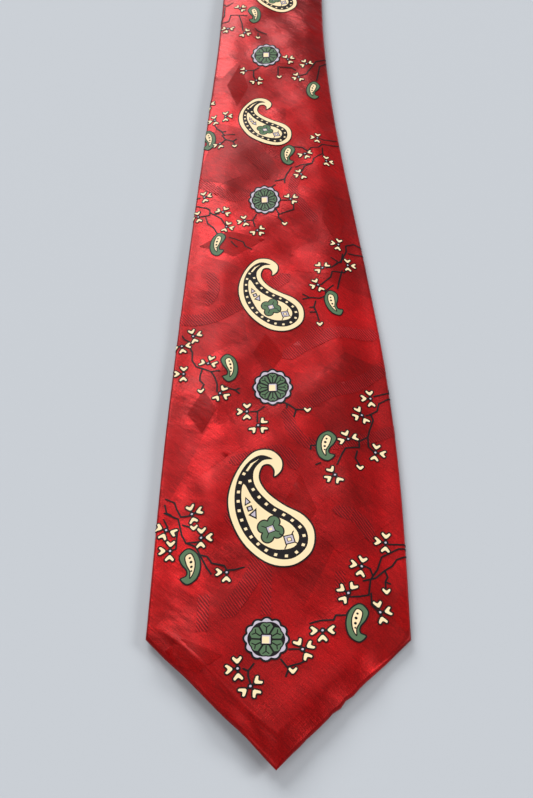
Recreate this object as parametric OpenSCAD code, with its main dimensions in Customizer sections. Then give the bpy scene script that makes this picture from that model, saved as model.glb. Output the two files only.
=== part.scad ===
// Necktie, folded in half at the neck: the front blade lies face up over the tail.
// The tip of the front blade points to -Y and the neck fold is at +Y.
// Each half is a flat sleeve of cloth around a wool interlining, lined at its tip.

/* [Front blade] */
// Width at the widest place, across the two corners of the tip
blade_w = 102; // [80:1:110]
// Width where the blade has narrowed to a band
waist_w = 61; // [50:1:70]
// Distance from the tip to where the blade has narrowed to a band
waist_at = 480; // [440:10:520]
// Length from the tip to the neck fold
blade_l = 700; // [660:5:740]
// Distance from the tip to the seam between blade panel and neck panel
blade_seam_at = 620; // [560:5:640]
// Distance from the tip to the bar tack, where the two back flaps meet
blade_tack_at = 150; // [110:5:180]

/* [Tail] */
// Width across the two corners of the tail's tip
tail_w = 60; // [50:1:75]
// Length from the tip to the neck fold
tail_l = 690; // [640:5:700]
// Distance from the tip to the seam between tail panel and neck panel
tail_seam_at = 440; // [380:5:500]
// Distance from the tip to the tail's bar tack
tail_tack_at = 80; // [70:5:120]

/* [Neck] */
// Width of the neck at the fold
neck_w = 36; // [30:1:44]

/* [Layers] */
// Thickness of one half, both cloth layers with their filling
half_t = 2.8; // [2.8:0.1:3.6]
// Thickness of the satin cloth
cloth_t = 0.4; // [0.3:0.05:0.4]
// Space between the two halves, for the keeper loop and the label
halves_gap = 1.2; // [1.2:0.1:2]
// Thickness of the tipping, the lining at each tip
tipping_t = 0.3; // [0.2:0.05:0.3]
// Visible hem of satin around the tipping
hem_w = 6; // [4:0.5:10]

/* [Keeper and label] */
// Length of the keeper loop across the blade
keeper_w = 62; // [62:1:64]
// Width of the keeper's strap
keeper_h = 13; // [8:1:15]
// Distance from the tip to the middle of the keeper loop
keeper_at = 262; // [250:1:290]
// Width of the blank label
label_w = 54; // [40:1:60]
// Height of the blank label
label_h = 24; // [16:1:28]
// Distance from the tip to the middle of the label
label_at = 222; // [200:1:228]

/* [Hidden] */

$fn = 48;
air = 0.1;               // space between layers inside a half
wall_in = cloth_t + 0.2; // how far the filling stays inside the folded edges
slit_w = 0.6;            // opening between the two back flaps
thread_t = 0.4;          // thickness of the sewing thread
seam_t = 0.4;            // width of a piecing seam
station_step = 40;       // distance between two points along an edge
taper_from = 100;        // where the blade begins to narrow
tipping_past = 20;       // how far the tipping runs on past the bar tack
strap_t = 0.4;           // thickness of the keeper's strap
strap_rise = 0.3;        // space between the strap and the blade
strap_foot = 5;          // length of each sewn end of the strap
label_t = 0.3;           // thickness of the label
label_rise = 0.25;       // space under the label, which the slip stitch fills

fill_t = half_t - 2 * cloth_t - tipping_t - 3 * air;
bend_r = half_t + halves_gap / 2;
fold_z = bend_r;
fold_y = (blade_l - bend_r) / 2;
blade_top = 2 * half_t + halves_gap;
fill_low = cloth_t + air;
tipping_low = fill_low + fill_t + air;

function mix(a, b, t) = a + (b - a) * t;
function ease(t) = let (c = min(max(t, 0), 1)) c * c * (3 - 2 * c);

// Half width of each half of the tie at distance s from its tip, past its corners.
blade_half = function (s)
    s < waist_at
        ? mix(blade_w, waist_w, ease((s - taper_from) / (waist_at - taper_from))) / 2
        : mix(waist_w, neck_w, ease((s - waist_at) / (blade_l - waist_at))) / 2;
tail_half = function (s)
    mix(tail_w, neck_w, ease((s - tail_w) / (tail_l - tail_w))) / 2;

// Distances at which an edge from a to b has a point.
function stations(a, b) = concat(
    [a],
    [for (s = [ceil((a + 1) / station_step) * station_step : station_step : b - 1]) s],
    [b]
);
function reversed(list) = [for (i = [len(list) - 1 : -1 : 0]) list[i]];
function edge(half, inset, a, b, side) =
    [for (s = stations(a, b)) [side * (half(s) - inset), s]];

// Flat outline of a panel from a to b. An end is square, or slants at 45 degrees.
function band(half, inset, a, b, slant_a, slant_b) =
    let (da = slant_a * half(a), db = slant_b * half(b))
    concat(
        edge(half, inset, a + da, b + db, 1),
        reversed(edge(half, inset, a - da, b - db, -1))
    );
// The same with the tie's square point in front, whose corners are half(0) up.
function pointed(half, inset, b, slant_b) =
    concat(
        [[0, inset * sqrt(2)]],
        band(half, inset, half(0) + inset * (sqrt(2) - 1), b, 0, slant_b)
    );

module layer(outline, low, t) {
    translate([0, 0, low])
        linear_extrude(height = t)
            polygon(outline);
}

// A sleeve of cloth: outside outline, cavity outline, and the slit between its flaps.
module sleeve(outside, cavity, slit_from) {
    difference() {
        layer(outside, 0, half_t);
        layer(cavity, cloth_t, half_t - 2 * cloth_t);
        translate([-slit_w / 2, slit_from, half_t - cloth_t - 1])
            cube([slit_w, blade_l, cloth_t + 2]);
    }
}

// The panel with the point. Its back flaps part below the bar tack.
module tip_panel(half, seam_at, tack_at) {
    flap_x = half(0) - hem_w;
    difference() {
        sleeve(
            pointed(half, 0, seam_at - seam_t / 2, 1),
            pointed(half, cloth_t, seam_at + half(0), 1),
            tack_at - 1
        );
        layer(
            [[0, hem_w * sqrt(2)], [flap_x, flap_x + hem_w * sqrt(2)],
             [0, tack_at], [-flap_x, flap_x + hem_w * sqrt(2)]],
            half_t - cloth_t - 1, cloth_t + 2
        );
    }
}

module neck_panel(half, seam_at, length) {
    sleeve(
        band(half, 0, seam_at + seam_t / 2, length, 1, 0),
        band(half, cloth_t, seam_at - station_step, length + 1, 1, 0),
        0
    );
}

module piecing_seam(half, seam_at) {
    sleeve(
        band(half, 0, seam_at - seam_t / 2, seam_at + seam_t / 2, 1, 1),
        band(half, cloth_t, seam_at - station_step, seam_at + station_step, 1, 1),
        0
    );
}

module interlining(half, length) {
    layer(pointed(half, wall_in, length, 0), fill_low, fill_t);
}

module tipping(half, tack_at) {
    layer(pointed(half, wall_in, tack_at + tipping_past, 0), tipping_low, tipping_t);
}

// Small stitches that hold the tipping to the hem along both edges of the point.
module tip_stitches(half) {
    pitch = 5;
    stitch_l = 1.4;
    run = (half(0) - hem_w) * sqrt(2);
    for (side = [-1, 1])
        for (along = [pitch : pitch : run - pitch])
            translate([0, hem_w * sqrt(2), tipping_low + tipping_t])
                rotate([0, 0, side > 0 ? 45 : 135])
                    translate([along, side > 0 ? 0 : -stitch_l, 0])
                        cube([thread_t, stitch_l, thread_t]);
}

// Close stitching over the place where the two back flaps meet.
module bar_tack(tack_at) {
    tack = [10, 2, 0.4];
    translate([-tack[0] / 2, tack_at - tack[1] / 2, half_t])
        cube(tack);
}

// The long thread that closes the back, with a short stitch over the slit at each step.
module slip_stitch(tack_at, length) {
    pitch = 20;
    cross = [4, 0.5, 0.25];
    from = tack_at + 2;
    translate([-thread_t / 2, from, half_t - cloth_t])
        cube([thread_t, length - from - 5, cloth_t + cross[2]]);
    for (s = [from + pitch / 2 : pitch : length - pitch])
        translate([-cross[0] / 2, s, half_t])
            cube(cross);
}

// Places a half on its own: the tail face down on the surface, the blade face up above it.
module on_tail() {
    translate([0, fold_y - tail_l, 0])
        children();
}
module on_blade() {
    translate([0, fold_y - blade_l, blade_top])
        mirror([0, 0, 1])
            children();
}

// Half a ring around the fold line, from radius r_in to r_out and w wide.
module half_ring(r_in, r_out, w) {
    translate([-w / 2, fold_y, fold_z])
        rotate([90, 0, 90])
            intersection() {
                difference() {
                    cylinder(r = r_out, h = w);
                    translate([0, 0, -1])
                        cylinder(r = r_in, h = w + 2);
                }
                translate([0, -2 * r_out, -2])
                    cube([2 * r_out, 4 * r_out, w + 4]);
            }
}

module front_shell() {
    color("crimson") on_blade() tip_panel(blade_half, blade_seam_at, blade_tack_at);
}
module front_neck_shell() {
    color("firebrick") on_blade() neck_panel(blade_half, blade_seam_at, blade_l);
}
module front_piecing_seam() {
    color("darkred") on_blade() piecing_seam(blade_half, blade_seam_at);
}
module front_interlining() {
    color("ivory") on_blade() interlining(blade_half, blade_l);
}
module front_tipping() {
    color("maroon") on_blade() tipping(blade_half, blade_tack_at);
}
module front_tip_stitches() {
    color("tomato") on_blade() tip_stitches(blade_half);
}
module front_bar_tack() {
    color("tomato") on_blade() bar_tack(blade_tack_at);
}
module front_slip_stitch() {
    color("tomato") on_blade() slip_stitch(blade_tack_at, blade_l);
}

// A strap across the back of the blade that the tail passes through.
module keeper_loop() {
    color("indianred")
        on_blade()
            translate([-keeper_w / 2, keeper_at - keeper_h / 2, half_t])
                difference() {
                    cube([keeper_w, keeper_h, strap_rise + strap_t]);
                    translate([strap_foot, -1, -1])
                        cube([keeper_w - 2 * strap_foot, keeper_h + 2, strap_rise + 1]);
                }
}
module keeper_tacks() {
    tack = [1.2, 10, 0.2];
    color("tomato")
        on_blade()
            for (side = [-1, 1])
                translate([
                    side * (keeper_w - strap_foot) / 2 - tack[0] / 2,
                    keeper_at - tack[1] / 2,
                    half_t + strap_rise + strap_t
                ])
                    cube(tack);
}

// A blank woven label, stitched down at its two ends.
module maker_label() {
    color("black")
        on_blade()
            translate([-label_w / 2, label_at - label_h / 2, half_t + label_rise])
                cube([label_w, label_h, label_t]);
}
module label_stitches() {
    pitch = 3;
    stitch = [thread_t, 1.6, 0.2];
    color("dimgray")
        on_blade()
            for (side = [-1, 1])
                for (s = [pitch : pitch : label_h - pitch])
                    translate([
                        side * (label_w / 2 - 2) - stitch[0] / 2,
                        label_at - label_h / 2 + s - stitch[1] / 2,
                        half_t + label_rise + label_t
                    ])
                        cube(stitch);
}

module tail_shell() {
    color("crimson") on_tail() tip_panel(tail_half, tail_seam_at, tail_tack_at);
}
module tail_neck_shell() {
    color("firebrick") on_tail() neck_panel(tail_half, tail_seam_at, tail_l);
}
module rear_piecing_seam() {
    color("darkred") on_tail() piecing_seam(tail_half, tail_seam_at);
}
module tail_interlining() {
    color("ivory") on_tail() interlining(tail_half, tail_l);
}
module tail_tipping() {
    color("maroon") on_tail() tipping(tail_half, tail_tack_at);
}
module tail_tip_stitches() {
    color("tomato") on_tail() tip_stitches(tail_half);
}
module tail_bar_tack() {
    color("tomato") on_tail() bar_tack(tail_tack_at);
}
module tail_slip_stitch() {
    color("tomato") on_tail() slip_stitch(tail_tack_at, tail_l);
}

// The turn of the neck at the fold, printed face outside.
module neck_bend_shell() {
    color("firebrick")
        difference() {
            half_ring(bend_r - half_t, bend_r, neck_w);
            half_ring(bend_r - half_t + cloth_t, bend_r - cloth_t, neck_w - 2 * cloth_t);
        }
}
module neck_bend_interlining() {
    color("ivory")
        half_ring(bend_r - fill_low - fill_t, bend_r - fill_low, neck_w - 2 * wall_in);
}

front_shell();
front_neck_shell();
front_piecing_seam();
front_interlining();
front_tipping();
front_tip_stitches();
front_bar_tack();
front_slip_stitch();
keeper_loop();
keeper_tacks();
maker_label();
label_stitches();
tail_shell();
tail_neck_shell();
rear_piecing_seam();
tail_interlining();
tail_tipping();
tail_tip_stitches();
tail_bar_tack();
tail_slip_stitch();
neck_bend_shell();
neck_bend_interlining();
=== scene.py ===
"""A printed silk necktie, folded once at the neck, with its wide end lying over its narrow end."""

import math

import bmesh
import bpy
import numpy as np
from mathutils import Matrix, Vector
from mathutils.geometry import delaunay_2d_cdt


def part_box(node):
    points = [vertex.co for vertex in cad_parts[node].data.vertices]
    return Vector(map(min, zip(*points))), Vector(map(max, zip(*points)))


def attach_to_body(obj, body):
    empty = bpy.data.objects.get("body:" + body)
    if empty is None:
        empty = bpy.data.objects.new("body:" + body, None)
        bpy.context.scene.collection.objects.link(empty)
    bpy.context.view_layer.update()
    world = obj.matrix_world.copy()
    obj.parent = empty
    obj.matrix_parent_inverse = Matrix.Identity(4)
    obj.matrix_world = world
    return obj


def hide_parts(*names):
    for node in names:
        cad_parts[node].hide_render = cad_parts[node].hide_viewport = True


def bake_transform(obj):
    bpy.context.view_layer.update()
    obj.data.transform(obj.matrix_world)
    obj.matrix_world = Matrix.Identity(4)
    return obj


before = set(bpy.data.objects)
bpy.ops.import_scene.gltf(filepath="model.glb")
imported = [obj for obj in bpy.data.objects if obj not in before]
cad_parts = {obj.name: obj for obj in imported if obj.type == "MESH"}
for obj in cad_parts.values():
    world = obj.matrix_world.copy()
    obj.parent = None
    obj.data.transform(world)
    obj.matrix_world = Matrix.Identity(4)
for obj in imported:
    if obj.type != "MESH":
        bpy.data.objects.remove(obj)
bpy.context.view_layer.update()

# Lengths below are in millimetres, as on the CAD part, and become metres when a mesh is made.
MM = 0.001
ROOT2 = math.sqrt(2.0)


def node_box(name):
    """A CAD node's lowest and highest corners in millimetres."""
    low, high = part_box(name)
    return np.array(low) / MM, np.array(high) / MM


def ease(t):
    t = np.clip(t, 0.0, 1.0)
    return t * t * (3.0 - 2.0 * t)


def mix(a, b, t):
    return a + (b - a) * t


# ---------------------------------------------------------------- sizes

blade_low, blade_high = node_box("front_shell")
tail_low, tail_high = node_box("tail_shell")
bend_low, bend_high = node_box("neck_bend_shell")

BLADE_TIP = blade_low[1]
TAIL_TIP = tail_low[1]
BLADE_WIDE = blade_high[0] - blade_low[0]
TAIL_WIDE = tail_high[0] - tail_low[0]
WAIST_WIDE = 61.0
NECK_WIDE = bend_high[0] - bend_low[0]
THICK = tail_high[2] - tail_low[2]
FOLD_RADIUS = THICK / 2
BEND_RADIUS = (bend_high[2] - bend_low[2]) / 2
BEND_Y = bend_high[1] - BEND_RADIUS
BEND_Z = (bend_high[2] + bend_low[2]) / 2

BLADE_SEAM = blade_high[1] - BLADE_TIP
TAIL_SEAM = tail_high[1] - TAIL_TIP
BLADE_LENGTH = BEND_Y - BLADE_TIP
TAIL_LENGTH = BEND_Y - TAIL_TIP

# Distances from each end's tip: where the back flaps are tacked together, where the width begins to
# fall, and where the wide end's waist is.
BLADE_TACK = 150.0
TAIL_TACK = 80.0
WIDE_UNTIL = 100.0
WAIST_AT = 480.0
TAIL_WIDE_UNTIL = 60.0

# The depth of the turned hem, and half the gap between two flaps that are sewn together.
HEM = 6.0
SLIT = 0.15


def blade_half(s):
    """Half the wide end's width at a distance s from its tip."""
    skirt = mix(BLADE_WIDE, WAIST_WIDE, ease((s - WIDE_UNTIL) / (WAIST_AT - WIDE_UNTIL)))
    neck = mix(WAIST_WIDE, NECK_WIDE, ease((s - WAIST_AT) / (BLADE_LENGTH - WAIST_AT)))
    return np.where(s < WAIST_AT, skirt, neck) / 2


def tail_half(s):
    """Half the narrow end's width at a distance s from its tip."""
    share = ease((s - TAIL_WIDE_UNTIL) / (TAIL_LENGTH - TAIL_WIDE_UNTIL))
    return mix(TAIL_WIDE, NECK_WIDE, share) / 2


# ---------------------------------------------------------------- how the cloth lies

# The wide end's sides sink by this much, over this width.
DRAPE_DROP = 3.3
DRAPE_WIDTH = 17.0

# Its slow waves: height, radians per millimetre, lean across the tie and start.
WAVE_BASE = 0.55
WAVES = (
    (0.55, 0.058, 0.8, 1.0),
    (0.38, 0.094, -1.25, 0.4),
    (0.24, 0.16, 1.9, -1.2),
    (0.10, 0.31, -0.7, 2.2),
)

# Its bow to the side.
BOW = 1.7
BOW_LENGTH = 460.0

# At its tip: the ridge over the hem, the lifted left edge and the worn right edge.
RIDGE = 0.9
RIDGE_FROM_EDGE = 7.5
RIDGE_WIDTH = 1.3
CURL = 2.0
CURL_WIDTH = 6.0
CURL_X = -12.0
WORN_WIDTH = 5.0
WORN_FROM_X = 4.0
WORN_TO_X = 40.0


def lie_flat(points):
    """The narrow end lies flat on the table."""
    return points


def lie_over_tail(points):
    """The wide end lies over the narrow one: its sides sink to the table, and it waves a little."""
    x, y, z = points[:, 0], points[:, 1], points[:, 2]
    s = y - BLADE_TIP
    tail_s = y - TAIL_TIP
    beyond = np.maximum(np.abs(x) - tail_half(tail_s), (np.abs(x) - tail_s) / ROOT2)
    near_neck = ease((BLADE_SEAM - 20 - s) / 90)
    sink = DRAPE_DROP * ease((beyond + 3) / DRAPE_WIDTH) * near_neck
    inner = 1 - ease((np.abs(x) - blade_half(s) + 22) / 20)
    wave = sum(high * np.sin(pace * (s + lean * x) + start) for high, pace, lean, start in WAVES)
    rise = (WAVE_BASE + wave) * near_neck * mix(0.25, 1.0, inner)
    bow = BOW * np.sin(2 * math.pi * (s - 40) / BOW_LENGTH) * near_neck
    from_edge = (s - np.abs(x)) / ROOT2
    ridge = RIDGE * np.exp(-(((from_edge - RIDGE_FROM_EDGE) / RIDGE_WIDTH) ** 2)) * ease((60 - s) / 20)
    left = 1 - ease((x + 6) / 14)
    off_edge = np.maximum(from_edge, 0)
    curl = CURL * np.exp(-(((x - CURL_X) / CURL_WIDTH) ** 2) - (off_edge / CURL_WIDTH) ** 2)
    worn = ease((WORN_WIDTH - (s - x) / ROOT2) / WORN_WIDTH)
    worn = worn * ease((x - WORN_FROM_X) / 8) * ease((WORN_TO_X - x) / 10)
    frayed = worn * (0.2 * np.sin(0.9 * x) + 0.2 * np.sin(1.37 * x + 1) - 0.15) / ROOT2
    return np.column_stack([x + bow + frayed, y - frayed, z - sink + rise + ridge * left + curl])


class Panel:
    """One end of the tie: its outline, its two faces and how it lies.

    Its cloth is described flat, by x across and s from the tip. Past the fold line the cloth goes
    round the edge and on across the back.
    """

    def __init__(self, tip, face_z, back_z, half, seam, tack, lie):
        self.tip = tip
        self.middle = (face_z + back_z) / 2
        self.radius = abs(face_z - back_z) / 2
        self.up = 1.0 if face_z > back_z else -1.0
        self.half = half
        self.seam = seam
        self.tack = tack
        self.lie = lie
        self.corner_x = float(half(0.0)) - self.radius
        self.tip_s = self.radius * ROOT2
        self.corner_s = self.corner_x + self.tip_s

    def flap_edge(self, s):
        """How far from the middle a back flap ends, where it is sewn or turned in."""
        share = np.clip((s - self.corner_s) / (self.tack - self.corner_s), 0, 1)
        return mix(self.corner_x - HEM + self.radius, SLIT, share)

    def reach(self, s):
        """How far the flat cloth goes to each side, round the edge and across the back."""
        inner = self.half(s) - self.radius
        return 2 * inner + math.pi * self.radius - self.flap_edge(s)

    def stand(self, x, s, height):
        """Points at x, s and a height above the panel's middle, as they lie."""
        points = np.column_stack([x, s + self.tip, self.middle + self.up * height])
        return self.lie(points)

    def place(self, x, s, lift):
        """Where points x, s of the flat cloth lie on the folded tie, lift above its surface."""
        r = self.radius
        wide = np.abs(x)
        side = wide - (self.half(s) - r)
        tip = (wide - s) / ROOT2 + r
        past_corner = (wide - self.corner_x) + (s - self.corner_s) > 0
        before_tip = wide + (s - self.tip_s) < 0
        foot_x, foot_s = wide.copy(), s.copy()
        out_x, out_s = np.zeros_like(x), np.zeros_like(x)
        past = np.zeros_like(x)
        on_side = (side > 0) & (s >= self.corner_s)
        foot_x[on_side] = wide[on_side] - side[on_side]
        out_x[on_side] = 1
        past[on_side] = side[on_side]
        on_tip = (tip > 0) & ~past_corner & ~before_tip
        foot_x[on_tip] -= tip[on_tip] / ROOT2
        foot_s[on_tip] += tip[on_tip] / ROOT2
        out_x[on_tip], out_s[on_tip] = 1 / ROOT2, -1 / ROOT2
        past[on_tip] = tip[on_tip]
        for cone, cx, cs in (
            (past_corner & (s < self.corner_s), self.corner_x, self.corner_s),
            (before_tip, 0.0, self.tip_s),
        ):
            dx, ds = wide[cone] - cx, s[cone] - cs
            away = np.maximum(np.hypot(dx, ds), 1e-9)
            foot_x[cone], foot_s[cone] = cx, cs
            out_x[cone], out_s[cone], past[cone] = dx / away, ds / away, away
        angle = np.minimum(past / r, math.pi)
        reach = (r + lift) * np.sin(angle) - np.maximum(past - math.pi * r, 0)
        height = (r + lift) * np.cos(angle)
        sign = np.where(x < 0, -1.0, 1.0)
        return self.stand(sign * (foot_x + out_x * reach), foot_s + out_s * reach, height)


blade = Panel(BLADE_TIP, blade_high[2], blade_low[2], blade_half, BLADE_SEAM, BLADE_TACK, lie_over_tail)
tail = Panel(TAIL_TIP, tail_low[2], tail_high[2], tail_half, TAIL_SEAM, TAIL_TACK, lie_flat)


# ---------------------------------------------------------------- meshes


def make_mesh(name, points, faces, materials, flat=None, face_material=None):
    """A smooth mesh object from points in millimetres; flat is each point's place on the flat cloth."""
    mesh = bpy.data.meshes.new(name)
    mesh.from_pydata((np.asarray(points) * MM).tolist(), [], faces)
    for material in materials:
        mesh.materials.append(material)
    mesh.polygons.foreach_set("use_smooth", [True] * len(mesh.polygons))
    if face_material is not None:
        mesh.polygons.foreach_set("material_index", face_material)
    if flat is not None:
        layer = mesh.uv_layers.new(name="cloth")
        corner = np.zeros(len(mesh.loops), int)
        mesh.loops.foreach_get("vertex_index", corner)
        layer.data.foreach_set("uv", (np.asarray(flat)[corner] * MM * 10).ravel())
    mesh.update()
    thing = bpy.data.objects.new(name, mesh)
    bpy.context.scene.collection.objects.link(thing)
    return thing


def grid_faces(rows, columns, first=0, flip=False):
    """Quads between rows of points laid one after another."""
    faces = []
    for j in range(rows - 1):
        for i in range(columns - 1):
            a = first + j * columns + i
            quad = (a, a + 1, a + columns + 1, a + columns)
            faces.append(quad[::-1] if flip else quad)
    return faces


def panel_rows(panel, start, end, chevrons, step, corner_s):
    """Each row's place along the centre and along the edge: a point at the tip, level by the tack."""
    level = panel.tack
    centre = np.linspace(start, level, chevrons + 1)
    edge = np.linspace(corner_s, level, chevrons + 1)
    more = np.linspace(level, end, max(2, int((end - level) / step) + 1))[1:]
    return np.concatenate([centre, more]), np.concatenate([edge, more])


def panel_grid(panel, inset, end, columns=40, chevrons=84, step=2.6):
    """Points x, s that cover a panel inside its outline, as arrays of rows by columns."""
    across = np.linspace(-1, 1, columns + 1)
    start = inset * ROOT2
    corner = float(panel.half(0.0)) - inset + start
    centre, edge = panel_rows(panel, start, end, chevrons, step, corner)
    s = centre[:, None] + (edge - centre)[:, None] * np.abs(across)[None, :]
    x = across[None, :] * (panel.half(s) - inset)
    return x, s


# Rows of points round a fold, and across a back flap.
ROUND_STEPS = 12
BACK_STEPS = 20


def fold_walk(rows, columns):
    """The fold line's places in a grid: down the left side, across the tip and up the right side."""
    left = [(j, 0) for j in range(rows - 1, 0, -1)]
    bottom = [(0, i) for i in range(columns)]
    right = [(j, columns - 1) for j in range(1, rows)]
    return left + bottom + right


def ways_out(walk, columns):
    """The way out from the face at each place of the fold line, mitred at its corners."""
    half_way = (columns - 1) // 2
    out = []
    for j, i in walk:
        sign = -1.0 if i < half_way else 1.0
        if j > 0:
            out.append((sign, 0.0))
        elif i in (0, columns - 1):
            out.append((sign, -math.tan(math.pi / 8)))
        elif i == half_way:
            out.append((0.0, -ROOT2))
        else:
            out.append((sign / ROOT2, -1 / ROOT2))
    return np.array(out)


def flap_ends(panel, walk, foot):
    """Where the cloth ends on the back, for each place of the fold line."""
    ends = []
    for (j, _), (x, s) in zip(walk, foot):
        if j > 0:
            sign = -1.0 if x < 0 else 1.0
            ends.append((sign * float(panel.flap_edge(s)), max(s, panel.corner_s + 1.5)))
        else:
            share = abs(x) / panel.corner_x
            reach = (panel.corner_x - HEM + panel.radius) * share
            ends.append((np.sign(x) * reach, reach + HEM * ROOT2))
    return np.array(ends)


def folded_cloth(name, panel, material):
    """A panel's cloth as it is folded: its face, its rolled edges and its two back flaps."""
    r = panel.radius
    x, s = panel_grid(panel, r, panel.seam)
    rows, columns = x.shape
    flat = [np.column_stack([x.ravel(), s.ravel()])]
    points = [np.column_stack([flat[0], np.full(x.size, r)])]
    faces = grid_faces(rows, columns, flip=panel.up < 0)

    walk = fold_walk(rows, columns)
    foot = np.array([[x[j, i], s[j, i]] for j, i in walk])
    out = ways_out(walk, columns)
    unit = out / np.linalg.norm(out, axis=1)[:, None]
    flap = flap_ends(panel, walk, foot)

    # Rows past the fold line, each as places on the tie, their height and places on the flat cloth:
    # first round the edge, then across the back, then the turned hem.
    more = []
    for k in range(1, ROUND_STEPS + 1):
        angle = math.pi * k / ROUND_STEPS
        more.append((foot + out * r * math.sin(angle), r * math.cos(angle), foot + out * r * angle))
    for k in range(1, BACK_STEPS + 1):
        across = (flap - foot) * (k / BACK_STEPS)
        mirrored = across - 2 * np.sum(across * unit, axis=1)[:, None] * unit
        puff = 0.05 * math.sin(math.pi * k / BACK_STEPS)
        more.append((foot + across, -r - puff, foot + out * math.pi * r + mirrored))
    inward = flap - foot
    inward /= np.maximum(np.linalg.norm(inward, axis=1), 1e-6)[:, None]
    cloth_end = more[-1][2]
    for turned, height in ((-0.08, 0.2), (0.3, 0.38), (HEM - 1.5, 0.42)):
        more.append((flap - inward * turned, height - r, cloth_end))

    count = len(walk)
    upper = np.array([j * columns + i for j, i in walk])
    for row, (places, height, cloth) in enumerate(more):
        points.append(np.column_stack([places, np.full(count, height)]))
        flat.append(cloth)
        lower = np.arange(count) + x.size + row * count
        for k in range(count - 1):
            quad = (upper[k], lower[k], lower[k + 1], upper[k + 1])
            faces.append(quad if panel.up > 0 else quad[::-1])
        upper = lower
    points = np.vstack(points)
    placed = panel.stand(points[:, 0], points[:, 1], points[:, 2])
    return make_mesh(name, placed, faces, [material], np.vstack(flat))


def layer_grid(panel, inset, end):
    """The coarser grid of a panel's inner layers."""
    return panel_grid(panel, inset, end, columns=28, chevrons=34, step=4.0)


def slab(name, panel, inset, low, high, end, material):
    """A flat inner layer of a panel, between two heights above its back face."""
    x, s = layer_grid(panel, inset, end)
    rows, columns = x.shape
    count = x.size
    flat = np.column_stack([x.ravel(), s.ravel()])
    top = np.column_stack([flat, np.full(count, high - panel.radius)])
    bottom = np.column_stack([flat, np.full(count, low - panel.radius)])
    points = np.vstack([top, bottom])
    faces = grid_faces(rows, columns) + grid_faces(rows, columns, count, True)
    around = [(0, i) for i in range(columns)] + [(j, columns - 1) for j in range(1, rows)]
    around += [(rows - 1, i) for i in range(columns - 2, -1, -1)] + [(j, 0) for j in range(rows - 2, 0, -1)]
    rim = [j * columns + i for j, i in around]
    for a, b in zip(rim, rim[1:] + rim[:1]):
        faces.append((a, a + count, b + count, b))
    if panel.up < 0:
        faces = [f[::-1] for f in faces]
    placed = panel.stand(points[:, 0], points[:, 1], points[:, 2])
    return make_mesh(name, placed, faces, [material], np.vstack([flat, flat]))


# ---------------------------------------------------------------- the neck


# Degrees round the bend. Its middle stays clear of stations on both sides, so that the bend closes
# flat inside the neck when the tie is laid out straight.
BEND_STATIONS = (14, 28, 42, 56, 90, 124, 138, 152, 166)


def neck_stations(step=2.5):
    """Stations from the wide end's seam round the bend to the narrow end's seam.

    Each is (y, z, outward y, outward z, half width, place along the cloth)."""
    stations = []
    blade_z = BEND_Z + BEND_RADIUS - FOLD_RADIUS
    tail_z = BEND_Z - BEND_RADIUS + FOLD_RADIUS
    for s in np.linspace(BLADE_SEAM, BLADE_LENGTH, int((BLADE_LENGTH - BLADE_SEAM) / step) + 1):
        stations.append((BLADE_TIP + s, blade_z, 0.0, 1.0, float(blade_half(s)), s))
    turn = BEND_RADIUS - FOLD_RADIUS
    for degrees in BEND_STATIONS:
        angle = math.radians(degrees)
        y, z = math.sin(angle), math.cos(angle)
        along = BLADE_LENGTH + BEND_RADIUS * angle
        stations.append((BEND_Y + turn * y, BEND_Z + turn * z, y, z, NECK_WIDE / 2, along))
    start = BLADE_LENGTH + BEND_RADIUS * math.pi
    for s in np.linspace(TAIL_LENGTH, TAIL_SEAM, int((TAIL_LENGTH - TAIL_SEAM) / step) + 1):
        along = start + TAIL_LENGTH - s
        stations.append((TAIL_TIP + s, tail_z, 0.0, -1.0, float(tail_half(s)), along))
    return stations


class Neck:
    """The neck's cloth, described flat like a Panel's, with s going on from the wide end's seam."""

    def __init__(self):
        self.radius = FOLD_RADIUS
        self.stations = np.array(neck_stations())

    def at(self, s):
        return [np.interp(s, self.stations[:, 5], self.stations[:, k]) for k in range(5)]

    def half(self, s):
        return self.at(s)[4]

    def reach(self, s):
        return 2 * (self.half(s) - self.radius) + math.pi * self.radius - SLIT

    def place(self, x, s, lift):
        r = self.radius
        y, z, out_y, out_z, half = self.at(s)
        inner = half - r
        past = np.maximum(np.abs(x) - inner, 0)
        angle = np.minimum(past / r, math.pi)
        out = np.minimum(np.abs(x), inner) + (r + lift) * np.sin(angle) - np.maximum(past - math.pi * r, 0)
        height = (r + lift) * np.cos(angle)
        return np.column_stack([np.where(x < 0, -out, out), y + out_y * height, z + out_z * height])


def neck_section(half, r):
    """A flattened tube's points: x, height above its middle, and place across the flat cloth."""
    section = []
    inner = half - r
    back_steps, round_steps, face_steps = 8, 10, 16
    section.append((-5.0, -r + 0.42, -(2 * inner + math.pi * r)))
    section.append((-0.3, -r + 0.36, -(2 * inner + math.pi * r)))
    for k in range(back_steps + 1):
        at = mix(SLIT, inner, k / back_steps)
        section.append((-at, -r, -(inner + math.pi * r + inner - at)))
    for k in range(1, round_steps):
        angle = math.pi * (1 - k / round_steps)
        section.append((-(inner + r * math.sin(angle)), r * math.cos(angle), -(inner + r * angle)))
    for k in range(face_steps + 1):
        at = mix(-inner, inner, k / face_steps)
        section.append((at, r, at))
    mirrored = [(-x, h, -u) for x, h, u in section[: 2 + back_steps + round_steps]]
    return section + mirrored[::-1]


def neck_cloth(name, material):
    points, flat = [], []
    stations = neck_stations()
    for y, z, out_y, out_z, half, along in stations:
        for x, height, u in neck_section(half, FOLD_RADIUS):
            points.append((x, y + out_y * height, z + out_z * height))
            flat.append((u, along))
    columns = len(points) // len(stations)
    faces = grid_faces(len(stations), columns)
    return make_mesh(name, points, faces, [material], flat)


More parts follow.
